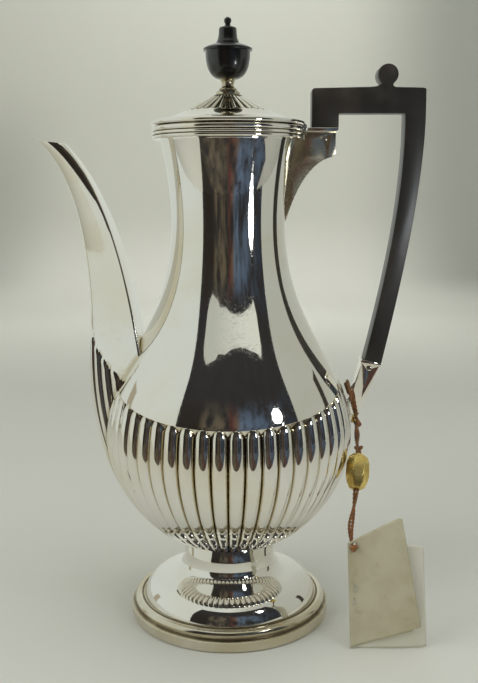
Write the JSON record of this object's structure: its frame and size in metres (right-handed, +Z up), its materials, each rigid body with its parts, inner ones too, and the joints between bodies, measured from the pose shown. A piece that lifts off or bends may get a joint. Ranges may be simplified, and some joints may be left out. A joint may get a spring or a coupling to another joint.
{
  "type": "coffee pot",
  "caption": "Half-fluted silver coffee pot on a round foot with a tall curved spout, hinged domed lid with an urn finial and a pinned dark wood handle.",
  "frame": {"origin": "centre of the foot ring on the table, on the axis of the turned body", "axes": "+Z up along the body's axis, -X towards the spout's beak, +X towards the handle, +Y across the pot"},
  "size_m": [0.1573, 0.1038, 0.2501],
  "materials": {
    "silver": "polished sterling or plated silver, fine wear scratches, faint warm tarnish in the grooves",
    "dark_wood": "ebonised wood, satin with a waxed sheen",
    "seal_gold": "gilt faceted seal, glossy",
    "cord": "twisted rust-brown thread",
    "card": "aged cream card, matt"
  },
  "bodies": {
    "pot": {"body": "silver", "body_rim": "silver", "foot": "silver", "foot_rim": "silver", "spout": "silver", "pot_hinge_leaf": "silver", "hinge_pin": "silver", "upper_socket": "silver", "upper_socket_band": "silver", "lower_socket": "silver", "lower_socket_band": "silver", "handle": "dark_wood", "upper_handle_pin": "silver", "lower_handle_pin": "silver", "tag_cord": "cord", "tag_seal": "seal_gold", "tag_card": "card"},
    "lid": {"lid": "silver", "lid_rim": "silver", "lid_bezel": "silver", "finial_collar": "silver", "finial_urn": "dark_wood", "finial_cap": "dark_wood", "finial_bolt": "silver", "finial_washer": "silver", "finial_nut": "silver", "lid_hinge_leaf": "silver"}
  },
  "joints": [
    {"name": "lid_hinge", "type": "hinge", "parent": "pot", "child": "lid", "pos_m": [0.0304, 0, 0.2068], "axis": [0, 1, 0], "range_deg": [0, 70]}
  ]
}
